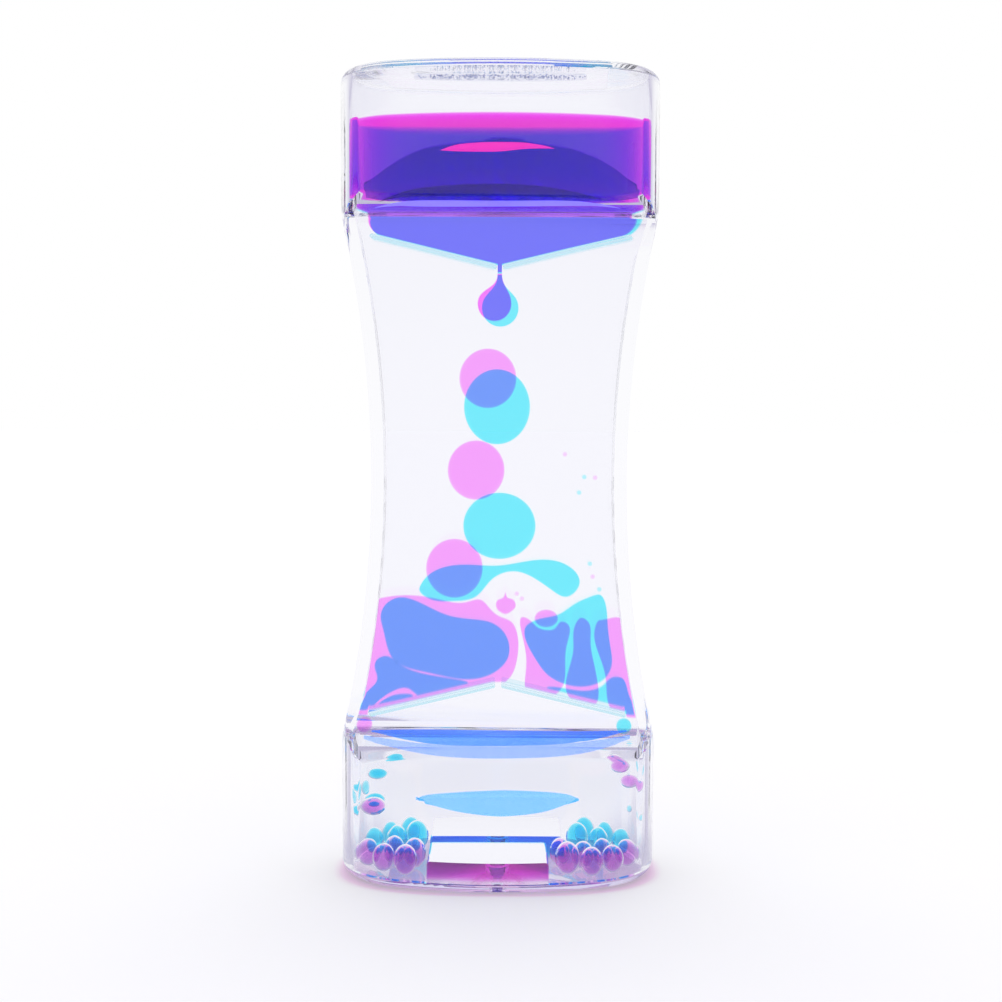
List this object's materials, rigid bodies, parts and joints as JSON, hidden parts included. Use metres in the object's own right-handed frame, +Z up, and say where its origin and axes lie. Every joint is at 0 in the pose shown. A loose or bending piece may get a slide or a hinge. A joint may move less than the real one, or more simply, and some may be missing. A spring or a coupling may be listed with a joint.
{
  "type": "liquid motion timer",
  "caption": "Waisted clear timer standing on end: pink and blue dyed water drips through clear oil down thin cells between end reservoirs.",
  "frame": {"origin": "centre of the base plate's lower face, on the surface the timer stands on", "axes": "+Z up along the body, +X to the right seen from the front, the front (pink chamber) faces -Y"},
  "size_m": [0.052, 0.03, 0.132],
  "materials": {
    "clear_acrylic": "clear acrylic, polished, faintly lilac at its edges",
    "clear_plug": "clear plastic plug, satin at its face",
    "pink_water": "dyed water, clear pink, magenta where it is deep",
    "cyan_water": "dyed water, clear cyan, blue where it is deep",
    "trapped_air": "air bubble in clear oil"
  },
  "bodies": {
    "timer_body": {"body_shell": "clear_acrylic", "top_cap": "clear_acrylic", "base_plate": "clear_acrylic", "divider_plate": "clear_acrylic", "front_fill_plug": "clear_plug", "rear_fill_plug": "clear_plug", "front_upper_ramp_left": "clear_acrylic", "front_upper_ramp_right": "clear_acrylic", "front_lower_ramp_left": "clear_acrylic", "front_lower_ramp_right": "clear_acrylic", "rear_upper_ramp_left": "clear_acrylic", "rear_upper_ramp_right": "clear_acrylic", "rear_lower_ramp_left": "clear_acrylic", "rear_lower_ramp_right": "clear_acrylic", "front_upper_pool": "pink_water", "front_landed_blob": "pink_water", "front_resting_drop": "pink_water", "front_specks": "pink_water", "front_base_pool": "pink_water", "front_beads_left": "pink_water", "front_beads_right": "pink_water", "front_pool_left": "pink_water", "front_pool_centre": "pink_water", "front_pool_finger": "pink_water", "front_pool_right": "pink_water", "rear_upper_pool": "cyan_water", "rear_specks": "cyan_water", "rear_base_pool": "cyan_water", "rear_beads_left": "cyan_water", "rear_beads_right": "cyan_water", "rear_pool_left": "cyan_water", "rear_pool_left_lower": "cyan_water", "rear_pool_left_corner": "cyan_water", "rear_pool_right": "cyan_water", "rear_pool_right_lower": "cyan_water", "front_air_bubble": "trapped_air"},
    "front_forming_drop_body": {"front_forming_drop": "pink_water"},
    "front_drop_upper_body": {"front_drop_upper": "pink_water"},
    "front_drop_middle_body": {"front_drop_middle": "pink_water"},
    "front_drop_lower_body": {"front_drop_lower": "pink_water"},
    "rear_forming_drop_body": {"rear_forming_drop": "cyan_water"},
    "rear_drop_upper_body": {"rear_drop_upper": "cyan_water"},
    "rear_drop_lower_body": {"rear_drop_lower": "cyan_water"},
    "rear_slug_body": {"rear_slug": "cyan_water"},
    "front_end_drop_body": {"front_end_drop": "pink_water"},
    "rear_end_drop_body": {"rear_end_drop": "cyan_water"},
    "front_stream_left_body": {"front_stream_left": "pink_water"},
    "front_stream_right_body": {"front_stream_right": "pink_water"},
    "rear_stream_left_body": {"rear_stream_left": "cyan_water"},
    "rear_stream_right_body": {"rear_stream_right": "cyan_water"}
  },
  "joints": [
    {"name": "front_forming_drop_fall", "type": "slide", "parent": "timer_body", "child": "front_forming_drop_body", "axis": [0, 0, -1], "range_m": [0, 0.0042]},
    {"name": "front_drop_upper_fall", "type": "slide", "parent": "timer_body", "child": "front_drop_upper_body", "axis": [0, 0, -1], "range_m": [0, 0.0052]},
    {"name": "front_drop_middle_fall", "type": "slide", "parent": "timer_body", "child": "front_drop_middle_body", "axis": [0, 0, -1], "range_m": [0, 0.0068]},
    {"name": "front_drop_lower_fall", "type": "slide", "parent": "timer_body", "child": "front_drop_lower_body", "axis": [0, 0, -1], "range_m": [0, 0.0004]},
    {"name": "rear_forming_drop_fall", "type": "slide", "parent": "timer_body", "child": "rear_forming_drop_body", "axis": [0, 0, -1], "range_m": [0, 0.0067]},
    {"name": "rear_drop_upper_fall", "type": "slide", "parent": "timer_body", "child": "rear_drop_upper_body", "axis": [0, 0, -1], "range_m": [0, 0.0077]},
    {"name": "rear_drop_lower_fall", "type": "slide", "parent": "timer_body", "child": "rear_drop_lower_body", "axis": [0, 0, -1], "range_m": [0, 0.0007]},
    {"name": "rear_slug_fall", "type": "slide", "parent": "timer_body", "child": "rear_slug_body", "axis": [0, 0, -1], "range_m": [0, 0.0011]},
    {"name": "front_end_drop_fall", "type": "slide", "parent": "timer_body", "child": "front_end_drop_body", "axis": [0, 0, -1], "range_m": [0, 0.0175]},
    {"name": "rear_end_drop_fall", "type": "slide", "parent": "timer_body", "child": "rear_end_drop_body", "axis": [0, 0, -1], "range_m": [0, 0.0165]},
    {"name": "front_stream_left_fall", "type": "slide", "parent": "timer_body", "child": "front_stream_left_body", "axis": [0, 0, -1], "range_m": [0, 0.0043]},
    {"name": "front_stream_right_fall", "type": "slide", "parent": "timer_body", "child": "front_stream_right_body", "axis": [0, 0, -1], "range_m": [0, 0.0081]},
    {"name": "rear_stream_left_fall", "type": "slide", "parent": "timer_body", "child": "rear_stream_left_body", "axis": [0, 0, -1], "range_m": [0, 0.003]},
    {"name": "rear_stream_right_fall", "type": "slide", "parent": "timer_body", "child": "rear_stream_right_body", "axis": [0, 0, -1], "range_m": [0, 0.003]}
  ]
}
